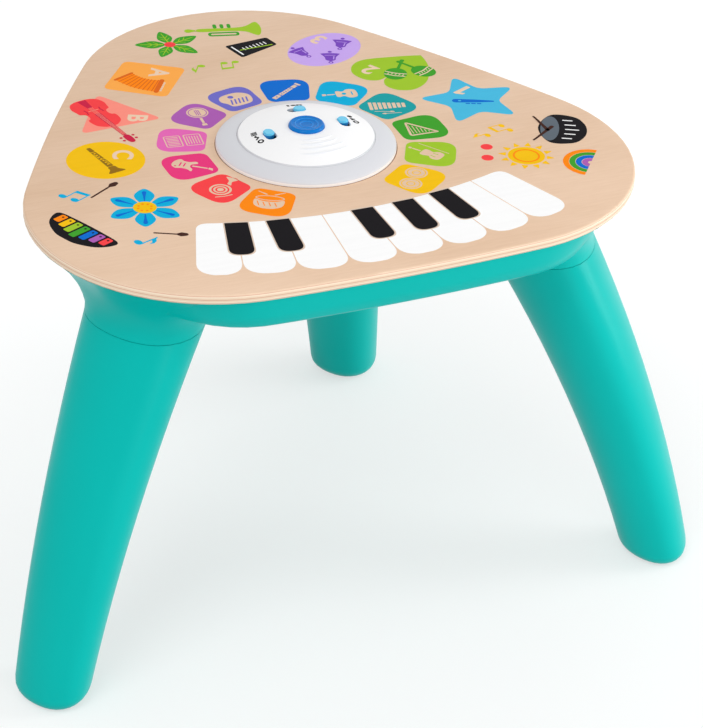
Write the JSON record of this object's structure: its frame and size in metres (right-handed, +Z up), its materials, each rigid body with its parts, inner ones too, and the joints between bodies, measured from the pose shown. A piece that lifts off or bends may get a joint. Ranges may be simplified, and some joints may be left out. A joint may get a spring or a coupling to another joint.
{
  "type": "musical activity table",
  "caption": "Toddler activity table: plywood top shaped as a rounded triangle with touch prints and a light-up hub, on a moulded frame with curved hollow legs.",
  "frame": {"origin": "centre of the footprint on the floor", "axes": "+Z up, keyboard side towards -Y, rear corner of the top towards +Y"},
  "size_m": [0.5616, 0.4412, 0.3584],
  "materials": {
    "plywood": "satin lacquered birch plywood",
    "teal_plastic": "matte moulded plastic",
    "underside_plastic": "matte moulded plastic",
    "pad_rubber": "matte",
    "zinc_steel": "zinc plated",
    "sensor_film": "copper pattern on film",
    "grey_diffuser": "frosted",
    "white_plastic": "semi gloss",
    "dark_plastic": "matte",
    "blue_plastic": "semi gloss",
    "cyan_plastic": "semi gloss",
    "circuit_board": "solder mask",
    "led_lens": "clear yellow",
    "paper_cone": "pressed paper",
    "magnet_steel": "plated",
    "cell_wrap": "plain wrap",
    "contact_metal": "nickel plated",
    "red_lead": "insulation",
    "black_lead": "insulation",
    "ribbon": "flat cable"
  },
  "bodies": {
    "table": {"wooden_top": "plywood", "touch_sensor_sheet": "sensor_film", "frame_shell": "teal_plastic", "bottom_cover": "underside_plastic", "leg_left": "teal_plastic", "leg_right": "teal_plastic", "leg_rear": "teal_plastic", "foot_pads": "pad_rubber", "leg_screws": "zinc_steel", "top_screws": "zinc_steel", "cover_screws": "zinc_steel", "light_ring": "grey_diffuser", "dome_cover": "white_plastic", "hub_cup": "white_plastic", "hub_nut_ring": "dark_plastic", "led_board": "white_plastic", "ring_leds": "led_lens", "control_board": "circuit_board", "slide_switches": "zinc_steel", "button_spring": "zinc_steel", "mode_switch": "dark_plastic", "hub_screws": "zinc_steel", "main_board": "circuit_board", "main_chips": "dark_plastic", "board_screws": "zinc_steel", "board_link": "ribbon", "speaker_frame": "dark_plastic", "speaker_cone": "paper_cone", "speaker_magnet": "magnet_steel", "speaker_screws": "zinc_steel", "battery_box": "dark_plastic", "battery_cells": "cell_wrap", "battery_contacts": "contact_metal", "battery_leads": "red_lead", "speaker_leads": "black_lead"},
    "mode_button": {"mode_button": "blue_plastic"},
    "volume_knob": {"volume_knob": "cyan_plastic"},
    "language_knob": {"language_knob": "cyan_plastic"},
    "level_knob": {"level_knob": "cyan_plastic"},
    "battery_door": {"battery_door": "underside_plastic", "door_screw": "zinc_steel"}
  },
  "joints": [
    {"name": "mode_button_press", "type": "slide", "parent": "table", "child": "mode_button", "axis": [0, 0, -1], "range_m": [0, 0.0015], "stiffness_N_per_m": 600, "springref_m": -0.001, "deforming": ["button_spring"]},
    {"name": "volume_slide", "type": "slide", "parent": "table", "child": "volume_knob", "axis": [0.0471, -0.9989, 0], "range_m": [0, 0.0044]},
    {"name": "language_slide", "type": "slide", "parent": "table", "child": "language_knob", "axis": [-0.9905, 0.1374, 0], "range_m": [0, 0.0044]},
    {"name": "level_slide", "type": "slide", "parent": "table", "child": "level_knob", "axis": [-0.0245, -0.9997, 0], "range_m": [0, 0.0044]},
    {"name": "battery_door_off", "type": "slide", "parent": "table", "child": "battery_door", "axis": [0, 0, -1], "range_m": [0, 0.03]}
  ]
}
